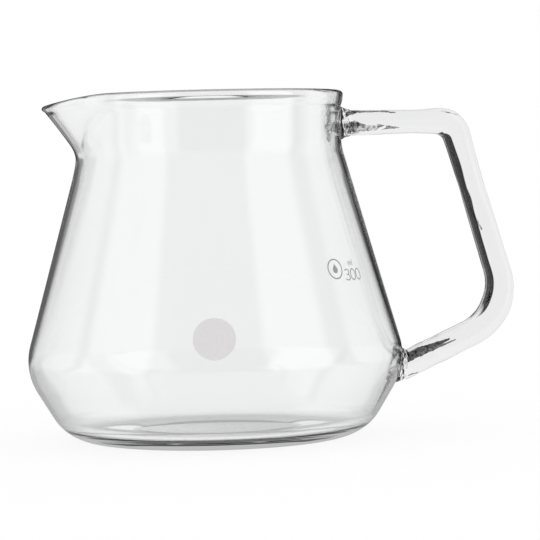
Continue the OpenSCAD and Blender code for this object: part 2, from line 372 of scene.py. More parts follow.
class WallShape:
    """Radii of the blown wall at any turn about the axis and any height."""

    def __init__(self, scene):
        body = self.body = scene.server_vessel
        self.spout = scene.server_spout
        self.joint = scene.server_joint
        self.arm_z = scene.server_handle.arm_z
        self.lower_seam = lower_seam(scene)
        self.belly_x = body.diameter / 2 - body.belly_round
        self.neck_r = body.neck_diameter / 2
        self.foot_r = self.tangent_foot(0, body.belly_round, body.heel_round)
        self.inner_belly = body.belly_round - body.belly_wall
        self.inner_foot_r = self.tangent_foot(body.floor_wall, self.inner_belly, body.inner_heel)
        edge = self.belly_x + body.belly_round / cos(body.wall_lean)
        self.neck_z = (body.belly_z + (edge - self.neck_r) / tan(body.wall_lean)
                       + body.neck_round * tan(body.wall_lean / 2))
        self.neck_arc_z = self.neck_z - body.neck_round * sin(body.wall_lean)
        self.inner_top_r = self.neck(LOFT_Z) - body.neck_wall
        self.inner_lean = self.tangent_lean()
        self.spout_lean = atan(self.spout.pull / (body.height - self.spout.start_z))

    def tangent_foot(self, floor, belly, heel):
        """Radius where the heel arc leaves the floor, so that it meets the lower wall smoothly."""
        lean = self.body.heel_lean
        drop = self.body.belly_z - floor - heel
        return (self.belly_x * cos(lean) - drop * sin(lean) + belly - heel) / cos(lean)

    def tangent_lean(self):
        """Lean of the inside wall: the line from the neck's inside to the inner belly arc."""
        across = self.inner_top_r - self.belly_x
        up = LOFT_Z - self.body.belly_z
        return atan2(up, across) - acos(self.inner_belly / hypot(across, up))

    def cone(self, z):
        """Radius of the tapering wall's outside."""
        body = self.body
        return (self.belly_x + body.belly_round / cos(body.wall_lean)
                - (z - body.belly_z) * tan(body.wall_lean))

    def neck(self, z):
        """Radius of the outside from the taper to the upright neck."""
        if z < self.neck_arc_z:
            return self.cone(z)
        if z < self.neck_z:
            bend = self.body.neck_round
            return self.neck_r + bend - sqrt(bend ** 2 - (self.neck_z - z) ** 2)
        return self.neck_r

    def collar(self, z):
        """How far the collar stands out."""
        body = self.body
        climb = z - body.height + body.collar_height
        if climb < 0:
            return 0
        return body.collar_flare * sin(pi / 2 * min(1, climb / (body.collar_height - body.lip_round)))

    def plain(self, z):
        """Radius of the outside without the spout, from the belly up."""
        return self.neck(z) + self.collar(z)

    def beak(self, turn, half):
        """Share of the spout's pull: 1 at the tip, 0 past the half angle."""
        off = abs(turn - pi)
        return 0 if off >= half else cos(pi / 2 * off / half) ** (2 * self.spout.beak)

    def throat(self, z):
        """Share of the pull at a height: a soft start, then a straight slope up to the lip."""
        spout = self.spout
        top = self.body.height - spout.drop - self.body.lip_round
        return soft_ramp(z - spout.start_z) / soft_ramp(top - spout.start_z)

    def half_at(self, z):
        """Half of the angle that the spout takes at a height."""
        spout = self.spout
        top = self.body.height - self.body.collar_height
        share = clamp((z - spout.start_z) / (top - spout.start_z))
        return spout.foot_half_angle + (spout.half_angle - spout.foot_half_angle) * share

    def pull(self, turn, z):
        """How far the spout stands out of the neck."""
        fade = clamp((z - LOFT_Z) / (self.spout.start_z - LOFT_Z))
        return self.spout.pull * self.throat(z) * fade * self.beak(turn, self.half_at(z))

    def outer(self, turn, z):
        """Radius of the outside from the belly up."""
        return self.plain(z) + self.pull(turn, z)

    def rim_beak(self, turn):
        """Share of the spout's pull along the rim."""
        return self.beak(turn, self.spout.half_angle)

    def lean(self, turn):
        """Outward lean of the wall at the lip."""
        return self.spout_lean * self.rim_beak(turn)

    def lip_radius(self, turn):
        """Radius of the rounded lip, which the pull thins at the spout."""
        return self.body.lip_round + (self.spout.wall / 2 - self.body.lip_round) * self.rim_beak(turn)

    def level_wall(self, turn, z):
        """Glass thickness, measured level, from the neck up: it reaches the lip's as the spout rises."""
        lip = 2 * self.lip_radius(turn) / cos(self.lean(turn))
        climb = max(0, (z - self.spout.start_z) / (self.body.height - self.spout.start_z))
        return self.body.neck_wall + (lip - self.body.neck_wall) * climb ** 2

    def upper_swell(self, turn, z):
        """How far the neck swells inwards behind the upper joint."""
        beside = hump(off_handle(turn) / SWELL_HALF)
        return self.joint.swell * beside * hump((z - self.arm_z) / SWELL_HEIGHT)

    def lower_swell(self, turn, radius, z):
        """How far the belly swells inwards behind the lower joint."""
        away = hypot(off_handle(turn) * radius, z - self.lower_seam[1])
        return self.joint.swell * hump(away / BELLY_SWELL_RADIUS)

    def inner(self, turn, z):
        """Radius of the inside from the neck up."""
        return self.outer(turn, z) - self.level_wall(turn, z) - self.upper_swell(turn, z)

    def lip_middle(self, turn):
        """Middle of the rounded lip."""
        z = self.body.height - self.spout.drop * self.rim_beak(turn) - self.lip_radius(turn)
        return self.outer(turn, z) - self.lip_radius(turn) / cos(self.lean(turn)), z

    def dome(self, floor):
        """The shallow dome of the push-up, from its middle to its edge, this far above the table."""
        body = self.body
        shares = [k / DOME_STEPS for k in range(DOME_STEPS + 1)]
        return [(body.push_up_radius * share, floor + body.push_up * (1 - share ** 2)) for share in shares]

    def outside(self, turn):
        """The outside, from the foot's middle to the lip."""
        body = self.body
        lean = body.heel_lean
        points = self.dome(0)
        points += arc((self.foot_r, body.heel_round), body.heel_round, -pi / 2, -lean, HEEL_STEPS)
        points += arc((self.belly_x, body.belly_z), body.belly_round, -lean, body.wall_lean, BELLY_STEPS)
        points += [(self.cone(z), z) for z in spread(points[-1][1], LOFT_Z, TAPER_STEPS)[1:-1]]
        top = self.lip_middle(turn)[1] - self.lip_radius(turn) * sin(self.lean(turn))
        return points + [(self.outer(turn, z), z) for z in spread(LOFT_Z, top, NECK_STEPS)[:-1]]

    def lip(self, turn):
        """Over the rounded lip, from the outside to the inside."""
        lean = self.lean(turn)
        return arc(self.lip_middle(turn), self.lip_radius(turn), -lean, pi - lean, LIP_STEPS)

    def inside(self, turn):
        """The inside, from the lip down to the middle of the floor."""
        body = self.body
        top = self.lip_middle(turn)[1] + self.lip_radius(turn) * sin(self.lean(turn))
        points = [(self.inner(turn, z), z) for z in spread(top, LOFT_Z, NECK_STEPS)[1:]]
        belly = (self.belly_x, body.belly_z)
        tangent = arc(belly, self.inner_belly, self.inner_lean, 0, 1)[0]
        points += between((self.inner_top_r, LOFT_Z), tangent, TAPER_STEPS)
        points += arc(belly, self.inner_belly, self.inner_lean, -body.heel_lean, BELLY_STEPS)
        heel = (self.inner_foot_r, body.floor_wall + body.inner_heel)
        points += arc(heel, body.inner_heel, -body.heel_lean, -pi / 2, HEEL_STEPS)
        points += self.dome(body.floor_wall)[::-1]
        return [(r - self.lower_swell(turn, r, z) if z < LOFT_Z else r, z) for r, z in points]

    def section(self, turn):
        """One closed section through the glass, from the foot's middle to the floor's middle."""
        return self.outside(turn) + self.lip(turn) + self.inside(turn)


def off_handle(turn):
    """Turn from the handle's side, up to half a turn each way."""
    return turn - 2 * pi if turn > pi else turn


def soft_ramp(x):
    """0 far below zero and x far above it, with a soft turn between."""
    return (x + sqrt(x * x + THROAT_SOFT ** 2)) / 2


def spread(start, end, steps):
    """Even steps from start to end, both included."""
    return [start + (end - start) * k / steps for k in range(steps + 1)]


def between(start, end, steps):
    """Even steps along a straight line, its two ends left out."""
    return list(zip(spread(start[0], end[0], steps)[1:-1], spread(start[1], end[1], steps)[1:-1]))


def section_turn(k, turns):
    """Turn of a section: they crowd together at the spout and at the handle."""
    even = 2 * pi * k / turns
    return even - CROWDING * sin(2 * even)


# Shape of the bar

# Steps along the bar and round its section
BEND_STEPS = 24
RUN_STEP = 0.7 * MM
EDGE_STEPS = 10
FLAT_STEPS = 8
LEAST_FLAT = 0.1 * MM
# Thickness and rounding of the bar against their settings: (share of the bar's length, factor)
FULLNESS = [(0, 1.05), (0.16, 0.95), (0.24, 1.12), (0.33, 0.99), (0.4, 0.96), (0.62, 0.98), (0.72, 1.16),
            (0.82, 1.06), (1, 1.08)]
SOFTNESS = [(0, 1), (0.24, 0.8), (0.36, 0.86), (0.42, 1), (0.47, 0.74), (0.6, 0.64), (0.72, 0.85), (1, 1)]
# Fineness of the waves in the drawn glass, and of those that the flame leaves near a seam
WAVE_FINENESS = 220
FLAME_FINENESS = (120, 500, 500)
FLAME_REACH = 17 * MM
# The noise starts from the time of day unless it is given a seed
WAVE_SEED = 3
# The waves die out over this length, so that the seams stay flat
SEAM_EASE = 2 * MM


def elbow_reach(handle):
    """Distance of the lower corner from the vessel's axis."""
    return handle.corner_x + (handle.arm_z - handle.elbow_z) * tan(handle.grip_lean)


def lower_seam(scene):
    """Middle of the lower seam: (distance from the axis, height)."""
    handle = scene.server_handle
    seam_x = scene.server_joint.lower_x
    return seam_x, handle.elbow_z - (elbow_reach(handle) - seam_x) * tan(handle.arm_rise)


def seams(scene):
    """Middle of the upper and the lower seam, and the bar's upright thickness at each."""
    handle = scene.server_handle
    return [((scene.server_joint.upper_x, handle.arm_z), handle.thickness * fullness(0)),
            (lower_seam(scene), handle.thickness * fullness(1) / cos(handle.arm_rise))]


def along_bar(table, share):
    """A value from a table [(share of the bar's length, value)], straight between its entries."""
    for (start, low), (end, high) in zip(table, table[1:]):
        if share <= end:
            return low + (high - low) * (share - start) / (end - start)
    return table[-1][1]


def fullness(share):
    """Thickness of the bar against its setting: fuller at the seams and in the bends."""
    return along_bar(FULLNESS, share)


def bar_stations(scene):
    """Places along the bar's middle line, [(x, z, heading)], from the upper seam to the lower one."""
    handle = scene.server_handle
    corners = [(scene.server_joint.upper_x, handle.arm_z), (handle.corner_x, handle.arm_z),
               (elbow_reach(handle), handle.elbow_z), lower_seam(scene)]
    legs = list(zip(corners, corners[1:]))
    headings = [atan2(end[1] - start[1], end[0] - start[0]) for start, end in legs]
    places = [(*corners[0], headings[0])]
    for corner, before, after, bend in zip(corners[1:3], headings, headings[1:],
                                           (handle.corner_bend, handle.elbow_bend)):
        turn = (before - after) % (2 * pi)
        back = bend * tan(turn / 2)
        start = (corner[0] - back * cos(before), corner[1] - back * sin(before))
        middle = (start[0] + bend * sin(before), start[1] - bend * cos(before))
        places += run(places[-1], (*start, before))
        for k in range(1, BEND_STEPS + 1):
            heading = before - turn * k / BEND_STEPS
            places.append((middle[0] - bend * sin(heading), middle[1] + bend * cos(heading), heading))
    return places + run(places[-1], (*corners[3], headings[2]))


def run(start, end):
    """Places along a straight stretch, after its start and up to its end."""
    steps = max(1, round(hypot(end[0] - start[0], end[1] - start[1]) / RUN_STEP))
    xs = spread(start[0], end[0], steps)[1:]
    zs = spread(start[1], end[1], steps)[1:]
    return [(x, z, end[2]) for x, z in zip(xs, zs)]


def bar_section(thickness, width, rounding):
    """Points round a rectangle with rounded corners, with some on its flats: (across, sideways)."""
    points = []
    rounding = min(rounding, (min(thickness, width) - LEAST_FLAT) / 2)
    signs = [(1, 1), (-1, 1), (-1, -1), (1, -1)]
    for c, (sx, sy) in enumerate(signs):
        middle = (sx * (thickness / 2 - rounding), sy * (width / 2 - rounding))
        corner = arc(middle, rounding, pi / 2 * c, pi / 2 * (c + 1), EDGE_STEPS)
        if points:
            points += between(points[-1], corner[0], FLAT_STEPS)
        points += corner
    return points + between(points[-1], points[0], FLAT_STEPS)


def drift(place, fineness):
    """A smooth wandering direction at a place; a higher fineness along an axis makes closer waves."""
    stretched = Vector([part * fine for part, fine in zip(place, fineness)])
    return Vector(noise.noise_vector(stretched))


# Meshes

# Points closer than this are one point
SAME_PLACE = 0.0005 * MM


def make_piece(name, points, faces, materials, stands_for=None, sharp=radians(50)):
    """A closed piece of the object, smooth but for its sharp edges, riding on the one body."""
    mesh = bpy.data.meshes.new(name)
    mesh.from_pydata([tuple(p) for p in points], [], faces)
    tidy = bmesh.new()
    tidy.from_mesh(mesh)
    bmesh.ops.remove_doubles(tidy, verts=tidy.verts, dist=SAME_PLACE)
    bmesh.ops.recalc_face_normals(tidy, faces=tidy.faces)
    tidy.to_mesh(mesh)
    tidy.free()
    mesh.shade_smooth()
    mesh.set_sharp_from_angle(angle=sharp)
    piece = bpy.data.objects.new(name, mesh)
    bpy.context.scene.collection.objects.link(piece)
    for material in materials:
        mesh.materials.append(material)
    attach(piece, "root")
    if stands_for:
        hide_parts(stands_for)
    return piece


def ring_faces(rings, count):
    """Quads between rings of count points each."""
    faces = []
    for a in range(0, (rings - 1) * count, count):
        b = a + count
        faces += [(a + k, a + (k + 1) % count, b + (k + 1) % count, b + k) for k in range(count)]
    return faces


def vessel_mesh(shape, turns):
    """Points and faces of the whole blown vessel."""
    points = []
    for i in range(turns):
        turn = section_turn(i, turns)
        section = shape.section(turn)
        points += [(r * cos(turn), r * sin(turn), z) for r, z in section]
    count = len(section)
    faces = []
    for i in range(turns):
        a = i * count
        b = (i + 1) % turns * count
        faces += [(a + k, b + k, b + k + 1, a + k + 1) for k in range(count - 1)]
    return points, faces


def bar_mesh(scene):
    """Points and faces of the bent bar; its ends are cut upright at the seams."""
    noise.seed_set(WAVE_SEED)
    handle = scene.server_handle
    places = bar_stations(scene)
    walked = [0]
    for (x0, z0, _), (x1, z1, _) in zip(places, places[1:]):
        walked.append(walked[-1] + hypot(x1 - x0, z1 - z0))
    points = []
    for i, ((x, z, heading), s) in enumerate(zip(places, walked)):
        share = s / walked[-1]
        outline = bar_section(handle.thickness * fullness(share), handle.width,
                              handle.rounding * along_bar(SOFTNESS, share))
        for across, sideways in outline:
            p = Vector((x - across * sin(heading), sideways, z + across * cos(heading)))
            if i in (0, len(places) - 1):
                slide = (x - p.x) / cos(heading)
                p += slide * Vector((cos(heading), 0, sin(heading)))
            else:
                end_off = min(s, walked[-1] - s)
                ease = clamp(end_off / SEAM_EASE)
                p += ease * handle.waviness * Vector(noise.noise_vector(p * WAVE_FINENESS))
                waves = drift(p, FLAME_FINENESS)
                depth = ease * hump(end_off / FLAME_REACH) * handle.flame_marks
                p += depth * Vector((0, waves.y, waves.z))
            points.append(tuple(p))
    count = len(outline)
    faces = ring_faces(len(places), count)
    last = (len(places) - 1) * count
    faces += [tuple(range(count))[::-1], tuple(range(last, last + count))]
    return points, faces


# Two faces in one place would catch a ray between them, so fused faces stand this far apart
FUSED_GAP = 0.012 * MM
# Rings of a gather, along its flanks and over its seat on the wall
FLANK_STEPS = 26
SEAT_STEPS = 8
# Fineness of the two sizes of unevenness on its flanks
COARSE = (1000, 1000, 400)
FINE = (2200, 2200, 900)


def gather_mesh(shape, seam, thickness, handle, joint):
    """Points and faces of a gather: a seam face, flanks that spread, and a seat on the wall."""
    noise.seed_set(WAVE_SEED)
    points = []
    for k in range(FLANK_STEPS + SEAT_STEPS):
        climb = min(1, k / FLANK_STEPS)
        inset = max(0, k - FLANK_STEPS) / SEAT_STEPS
        flare = climb ** 2
        outline = bar_section(thickness + 2 * (joint.seam_lip + joint.spread * flare),
                              handle.width + 2 * (joint.seam_lip + joint.side_spread * flare),
                              handle.rounding + joint.spread * flare)
        for up, sideways in outline:
            y = sideways * (1 - inset)
            z = seam[1] + up * (1 - inset)
            start_x = seam[0] - FUSED_GAP
            wall_x = wall_reach(shape, y, z) + FUSED_GAP
            p = Vector((start_x + (wall_x - start_x) * climb, y, z))
            if 0 < k < FLANK_STEPS:
                uneven = drift(p, COARSE) + 0.5 * drift(p, FINE)
                p += (1 - (2 * climb - 1) ** 4) * joint.roughness * uneven
            points.append(tuple(p))
    count = len(outline)
    faces = ring_faces(FLANK_STEPS + SEAT_STEPS, count)
    last = (FLANK_STEPS + SEAT_STEPS - 1) * count
    middle = len(points)
    points.append((wall_reach(shape, 0, seam[1]) + FUSED_GAP, 0, seam[1]))
    faces += [(last + k, last + (k + 1) % count, middle) for k in range(count)]
    faces.append(tuple(range(count))[::-1])
    return points, faces


def wall_reach(shape, y, z):
    """Distance along the handle's direction from the axis to the wall's outside."""
    if z > LOFT_Z:
        radius = shape.plain(z)
    else:
        radius = belly_outside(shape, z)
    return sqrt(radius ** 2 - y ** 2)


def belly_outside(shape, z):
    """Radius of the outside at any height below the loft."""
    body = shape.body
    up = (z - body.belly_z) / body.belly_round
    if up > sin(body.wall_lean):
        return shape.cone(z)
    if up > -sin(body.heel_lean):
        return shape.belly_x + body.belly_round * sqrt(1 - up ** 2)
    edge = shape.belly_x + body.belly_round * cos(body.heel_lean)
    corner_z = body.belly_z - body.belly_round * sin(body.heel_lean)
    return edge - (corner_z - z) * tan(body.heel_lean)


# Place of the fused face in each piece's materials
FUSED = 1
# Rounding of the fused patch on the wall, and the least outward turn of its faces
PATCH_ROUND = 3 * MM
OUTWARD = 0.3


def footprint_half(scene, thickness):
    """Half height and half width of a gather where it sits on the wall."""
    joint = scene.server_joint
    half_y = scene.server_handle.width / 2 + joint.seam_lip + joint.side_spread
    return thickness / 2 + joint.seam_lip + joint.spread, half_y


def mark_fused(mesh, scene):
    """Give the wall's outside under the two gathers the fused face, which doesn't bend light."""
    patches = [(seam[1], *footprint_half(scene, thickness)) for seam, thickness in seams(scene)]
    for face in mesh.polygons:
        if face.center.x > 0 and face.normal.x > OUTWARD:
            for z, half_z, half_y in patches:
                off = hypot(max(0, abs(face.center.y) - half_y + PATCH_ROUND),
                            max(0, abs(face.center.z - z) - half_z + PATCH_ROUND))
                if off < PATCH_ROUND:
                    face.material_index = FUSED


def mark_seam_faces(mesh, places):
    """Give the upright end faces at the seams, the only ones of many corners, the fused face."""
    for face in mesh.polygons:
        if len(face.vertices) > 4 and any(abs(face.center.x - x) < 2 * FUSED_GAP for x in places):
            face.material_index = FUSED


def mark_seat_faces(mesh, shape):
    """Give a gather's seat on the wall the fused face."""
    for face in mesh.polygons:
        wall_x = wall_reach(shape, face.center.y, face.center.z)
        if abs(face.center.x - wall_x) < 2 * FUSED_GAP and len(face.vertices) < 5:
            face.material_index = FUSED


# Printed marks

# Gap between the glass and the ink, against the ink's thickness
INK_GAP = 0.2
# Widths of the strokes
RING_STROKE = 0.36 * MM
DIGIT_STROKE = 0.3 * MM
UNIT_STROKE = 0.2 * MM
# Step from digit to digit, and rise of the unit, against the digits' height
DIGIT_STEP = 0.86
UNIT_RISE = 0.82
DROP_HALF_WIDTH = 0.9 * MM
DROP_HEIGHT = 2.5 * MM
DISC_STEPS = 60
DISC_RINGS = 8


def on_wall(shape, turn, z, across, up, lift):
    """The place on the wall that is so far across and up from a point, lifted off the glass."""
    lean = shape.body.wall_lean
    height = z + up * cos(lean)
    radius = belly_outside(shape, height) + lift
    angle = turn - pi / 2 + across / radius
    return radius * cos(angle), radius * sin(angle), height


def print_mark(name, shape, turn, z, points, faces, ink):
    """A flat figure, given as points (across, up) and faces, as a thin closed layer on the wall."""
    layer = bpy.context.scene.server_print.layer
    count = len(points)
    places = [on_wall(shape, turn, z, across, up, lift)
              for lift in (INK_GAP * layer, (1 + INK_GAP) * layer) for across, up in points]
    uses = {}
    for face in faces:
        for a, b in zip(face, face[1:] + face[:1]):
            uses.setdefault(frozenset((a, b)), []).append((a, b))
    rim = [pair[0] for pair in uses.values() if len(pair) == 1]
    walls = [(b, a, a + count, b + count) for a, b in rim]
    fronts = [tuple(i + count for i in face) for face in faces]
    backs = [tuple(reversed(face)) for face in faces]
    return make_piece(name, places, fronts + backs + walls, [ink], sharp=radians(30))


def ribbon(path, width, closed=False):
    """Points and faces of a flat stroke along a path."""
    points = []
    last = len(path) - 1
    for i, (x, y) in enumerate(path):
        before = path[i - 1] if i or closed else path[0]
        after = path[(i + 1) % len(path)] if i < last or closed else path[-1]
        dx = after[0] - before[0]
        dy = after[1] - before[1]
        half = width / 2 / hypot(dx, dy)
        points += [(x - dy * half, y + dx * half), (x + dy * half, y - dx * half)]
    steps = len(path) if closed else last
    count = len(points)
    faces = [(2 * i, 2 * i + 1, (2 * i + 3) % count, (2 * i + 2) % count) for i in range(steps)]
    return points, faces


def joined(figures):
    """Several flat figures as one."""
    points = []
    faces = []
    for more_points, more_faces in figures:
        faces += [tuple(i + len(points) for i in face) for face in more_faces]
        points += more_points
    return points, faces


def scaled(path, size, shift=(0, 0)):
    """A path drawn in a unit box, at its real size and place."""
    return [(x * size + shift[0], y * size + shift[1]) for x, y in path]


def oval(middle, half_width, half_height, degrees):
    """Points round an oval, at angles in degrees."""
    return [(middle[0] + half_width * cos(radians(a)), middle[1] + half_height * sin(radians(a)))
            for a in degrees]


def digit_three():
    """The stroke of a 3 that is 1 high, about its middle."""
    top = oval((-0.02, 0.25), 0.3, 0.25, range(150, -91, -12))
    bottom = oval((-0.02, -0.24), 0.34, 0.26, range(90, -156, -12))
    return top + bottom[1:]


def digit_nought():
    """The stroke of a 0 that is 1 high, about its middle."""
    return oval((0, 0), 0.35, 0.5, range(0, 360, 10))


def unit_strokes():
    """The strokes of the unit, millilitres, 1 high with its foot at 0."""
    first = oval((-0.42, 0.42), 0.2, 0.2, range(180, -1, -20)) + [(-0.22, 0)]
    second = oval((-0.02, 0.42), 0.2, 0.2, range(180, -1, -20)) + [(0.18, 0)]
    return [[(-0.62, 0), (-0.62, 0.64)], first, second, [(0.52, 0), (0.52, 1)]]


def drop_figure(half_width, height):
    """Points and faces of a drop: a round foot that rises to a point."""
    low = -0.45 * height
    middle = (0, low + half_width)
    outline = oval(middle, half_width, half_width, range(-200, 21, 10)) + [(0, low + height)]
    count = len(outline)
    return outline + [middle], [(k, (k + 1) % count, count) for k in range(count)]


def disc_figure(diameter):
    """Points and faces of a round disc, in rings about its middle."""
    degrees = [360 * k / DISC_STEPS for k in range(DISC_STEPS)]
    points = [(0, 0)]
    for ring in range(1, DISC_RINGS + 1):
        radius = diameter / 2 * ring / DISC_RINGS
        points += oval((0, 0), radius, radius, degrees)
    steps = [(k, (k + 1) % DISC_STEPS) for k in range(DISC_STEPS)]
    faces = [(0, 1 + k, 1 + after) for k, after in steps]
    for ring in range(DISC_RINGS - 1):
        a = 1 + ring * DISC_STEPS
        b = a + DISC_STEPS
        faces += [(a + k, b + k, b + after, a + after) for k, after in steps]
    return points, faces


# Materials

def add_node(tree, kind, inputs=None, **settings):
    """A node with its settings, and its inputs set to values or joined to other nodes' outputs."""
    made = tree.nodes.new(kind)
    for name, value in settings.items():
        setattr(made, name, value)
    for name, value in (inputs or {}).items():
        if isinstance(value, bpy.types.NodeSocket):
            tree.links.new(value, made.inputs[name])
        else:
            made.inputs[name].default_value = value
    return made


def calculate(tree, operation, *values):
    """The result of a Math node."""
    return add_node(tree, "ShaderNodeMath", dict(enumerate(values)), operation=operation).outputs[0]


def calculate_vector(tree, operation, *values):
    """The result of a Vector Math node: a number for a length or a dot product, or else a vector."""
    outputs = add_node(tree, "ShaderNodeVectorMath", dict(enumerate(values)), operation=operation).outputs
    return outputs["Value" if operation in ("LENGTH", "DOT_PRODUCT") else "Vector"]


def split(tree, vector):
    """The X, Y and Z outputs of a vector."""
    return add_node(tree, "ShaderNodeSeparateXYZ", {"Vector": vector}).outputs


def blend(tree, share, start, end):
    """A number between start and end, by share."""
    return add_node(tree, "ShaderNodeMix", {0: share, 2: start, 3: end}).outputs[0]


def clouds(tree, place, scale, detail):
    """The outputs of a noise texture."""
    inputs = {"Vector": place, "Scale": scale, "Detail": detail}
    return add_node(tree, "ShaderNodeTexNoise", inputs).outputs


def product(tree, parts):
    """All parts multiplied together."""
    result = parts[0]
    for part in parts[1:]:
        result = calculate(tree, "MULTIPLY", result, part)
    return result


def soft_step(tree, value, start, end):
    """0 before start, 1 after end, and a smooth change between; start may be above end."""
    inputs = {"Value": value, "From Min": start, "From Max": end, "To Min": 0.0, "To Max": 1.0}
    return add_node(tree, "ShaderNodeMapRange", inputs, interpolation_type="SMOOTHSTEP").outputs[0]


def rescale(tree, value, start, end):
    """A value from one range (low, high), carried over to another."""
    inputs = {"Value": value, "From Min": start[0], "From Max": start[1],
              "To Min": end[0], "To Max": end[1]}
    return add_node(tree, "ShaderNodeMapRange", inputs).outputs[0]


def new_material(name):
    """A material with an empty tree, and its output node."""
    material = bpy.data.materials.new(name)
    material.use_nodes = True
    material.node_tree.nodes.clear()
    return material, material.node_tree, material.node_tree.nodes.new("ShaderNodeOutputMaterial")


def glaze(tree, out, colour, painted_clearness, index, height, depth):
    """Clear glass as the surface: its colour, darkened where shade is painted into it, and its waves."""
    bump = add_node(tree, "ShaderNodeBump", {"Height": height, "Strength": 1.0, "Distance": depth})
    glass = add_node(tree, "ShaderNodeBsdfPrincipled", {
        "Base Color": calculate_vector(tree, "MULTIPLY", tuple(colour), painted_clearness), "Roughness": 0.0,
        "IOR": index, "Transmission Weight": 1.0, "Normal": bump.outputs[0]})
    tree.links.new(glass.outputs[0], out.inputs["Surface"])


# Where the rim's painted dark line of shade begins and is full, in depths of the line below the rim
PAINTED_RIM_START = 1.25
PAINTED_RIM_FULL = 0.75
# Scale of the blown wall's level lines: fine upwards and coarse round the vessel
BLOWN_LINES = (14, 14, 60)


def lip_drop(tree, place, spout):
    """How far the lip drops below the rim at a place's turn about the axis."""
    parts = split(tree, place)
    towards = calculate(tree, "MULTIPLY", parts["X"], -1.0)
    off = calculate(tree, "ABSOLUTE", calculate(tree, "ARCTAN2", parts["Y"], towards))
    share = calculate(tree, "MINIMUM", calculate(tree, "DIVIDE", off, spout.half_angle), 1.0)
    level = calculate(tree, "COSINE", calculate(tree, "MULTIPLY", share, pi / 2))
    beak = calculate(tree, "POWER", level, 2 * spout.beak)
    return calculate(tree, "MULTIPLY", beak, spout.drop)


def clear_wall(scene):
    """Clear glass with the faint level lines of a turned and blown wall, and a dark line of shade painted
    into its colour at the rim.
    """
    look = scene.server_glass
    height = scene.server_vessel.height
    material, tree, out = new_material("clear_wall")
    place = add_node(tree, "ShaderNodeTexCoord").outputs["Object"]
    stretched = add_node(tree, "ShaderNodeMapping", {"Vector": place, "Scale": BLOWN_LINES}).outputs[0]
    lines = clouds(tree, stretched, 1.0, 1.0)[0]
    climb = calculate(tree, "ADD", lip_drop(tree, place, scene.server_spout), split(tree, place)["Z"])
    # Painted shade: the glass's colour darkens towards the rim, standing in for the dark line that the
    # rounded lip shows by bending light.
    rim = soft_step(tree, climb, height - PAINTED_RIM_START * look.painted_rim_depth, height - PAINTED_RIM_FULL * look.painted_rim_depth)
    painted_clearness = blend(tree, rim, 1.0, look.painted_rim_clearness)
    glaze(tree, out, look.colour, painted_clearness, look.bend_of_light, lines, look.draw_lines)
    return material


# Softness of a painted dark streak's edges, across it and at its two ends, and how ragged they are
PAINTED_STREAK_BLUR = 0.12 * MM
PAINTED_STREAK_START = 0.02
PAINTED_STREAK_END = 0.97
RAGGED = 0.6 * MM
# The painted streaks lie in the faces that look to the front: Normal Y where they begin and are full
FRONT_START = -0.3
FRONT_FULL = -0.5
# Scales of the bar's waves, of the painted streaks' ragged edges and of their uneven tone
BAR_WAVES = 90.0
RAGGED_SCALE = 900.0
TONE_SCALE = 1400.0
# The middle of the noise takes a painted streak's light from a tenth of its setting to seven times it
UNEVEN = (0.35, 0.65)
UNEVEN_TONE = (0.1, 7.0)
# Painted shade: dark streaks in the bar's colour that stand in for the dark studio seen bent through the
# bar, in mm from the axis and above the table:
# start, end, half height at both, and the light let through
PAINTED_DARK_STREAKS = [
    ((35.6, 82.7), (51.2, 82.6), 1.25, 0.08, 0.1),
    ((35.6, 83.3), (38.8, 84.1), 0.2, 0.65, 0.02),
    ((38.5, 84.1), (41.8, 83.2), 0.65, 0.2, 0.05),
    ((44.8, 82.9), (51.0, 82.6), 0.7, 0.06, 0.03),
    ((44.9, 82.0), (47.3, 83.1), 0.2, 0.3, 1.0),
    ((36.2, 86.3), (39.5, 87.1), 0.6, 0.3, 0.01),
    ((38.2, 87.2), (45.7, 87.25), 0.3, 0.25, 0.003),
    ((45.5, 87.2), (50.2, 86.6), 0.25, 0.05, 0.01),
    ((62.4, 86.9), (67.5, 85.6), 0.1, 0.1, 0.1),
    ((70.1, 60.1), (72.9, 54.3), 0.1, 0.16, 0.05),
    ((51.6, 20.4), (63.8, 25.1), 1.45, 0.12, 0.003),
    ((55.0, 20.9), (65.4, 24.9), 0.5, 0.06, 0.01),
    ((51.8, 15.4), (54.8, 16.1), 0.15, 0.1, 0.02),
    ((75.0, 37.6), (73.3, 34.8), 0.7, 1.0, 0.003),
    ((73.7, 35.3), (66.2, 29.5), 0.95, 0.08, 0.003),
]


def painted_streak_mask(tree, place, painted_streak):
    """1 inside a painted dark streak of the bar, which tapers from its start to its end."""
    start, end, half_start, half_end, _ = painted_streak
    run_x = (end[0] - start[0]) * MM
    run_z = (end[1] - start[1]) * MM
    length = hypot(run_x, run_z)
    off = calculate_vector(tree, "SUBTRACT", place, (start[0] * MM, 0, start[1] * MM))
    lead = (1 / run_x, 0, 0) if abs(run_x) > abs(run_z) else (run_x / length ** 2, 0, run_z / length ** 2)
    along = calculate_vector(tree, "DOT_PRODUCT", off, lead)
    across = calculate_vector(tree, "DOT_PRODUCT", off, (-run_z / length, 0, run_x / length))
    half = calculate(tree, "MULTIPLY_ADD", along, (half_end - half_start) * MM, half_start * MM)
    past = calculate(tree, "SUBTRACT", calculate(tree, "ABSOLUTE", across), half)
    return product(tree, [soft_step(tree, past, PAINTED_STREAK_BLUR, 0.0),
                          soft_step(tree, along, 0.0, PAINTED_STREAK_START),
                          soft_step(tree, along, 1.0, PAINTED_STREAK_END)])


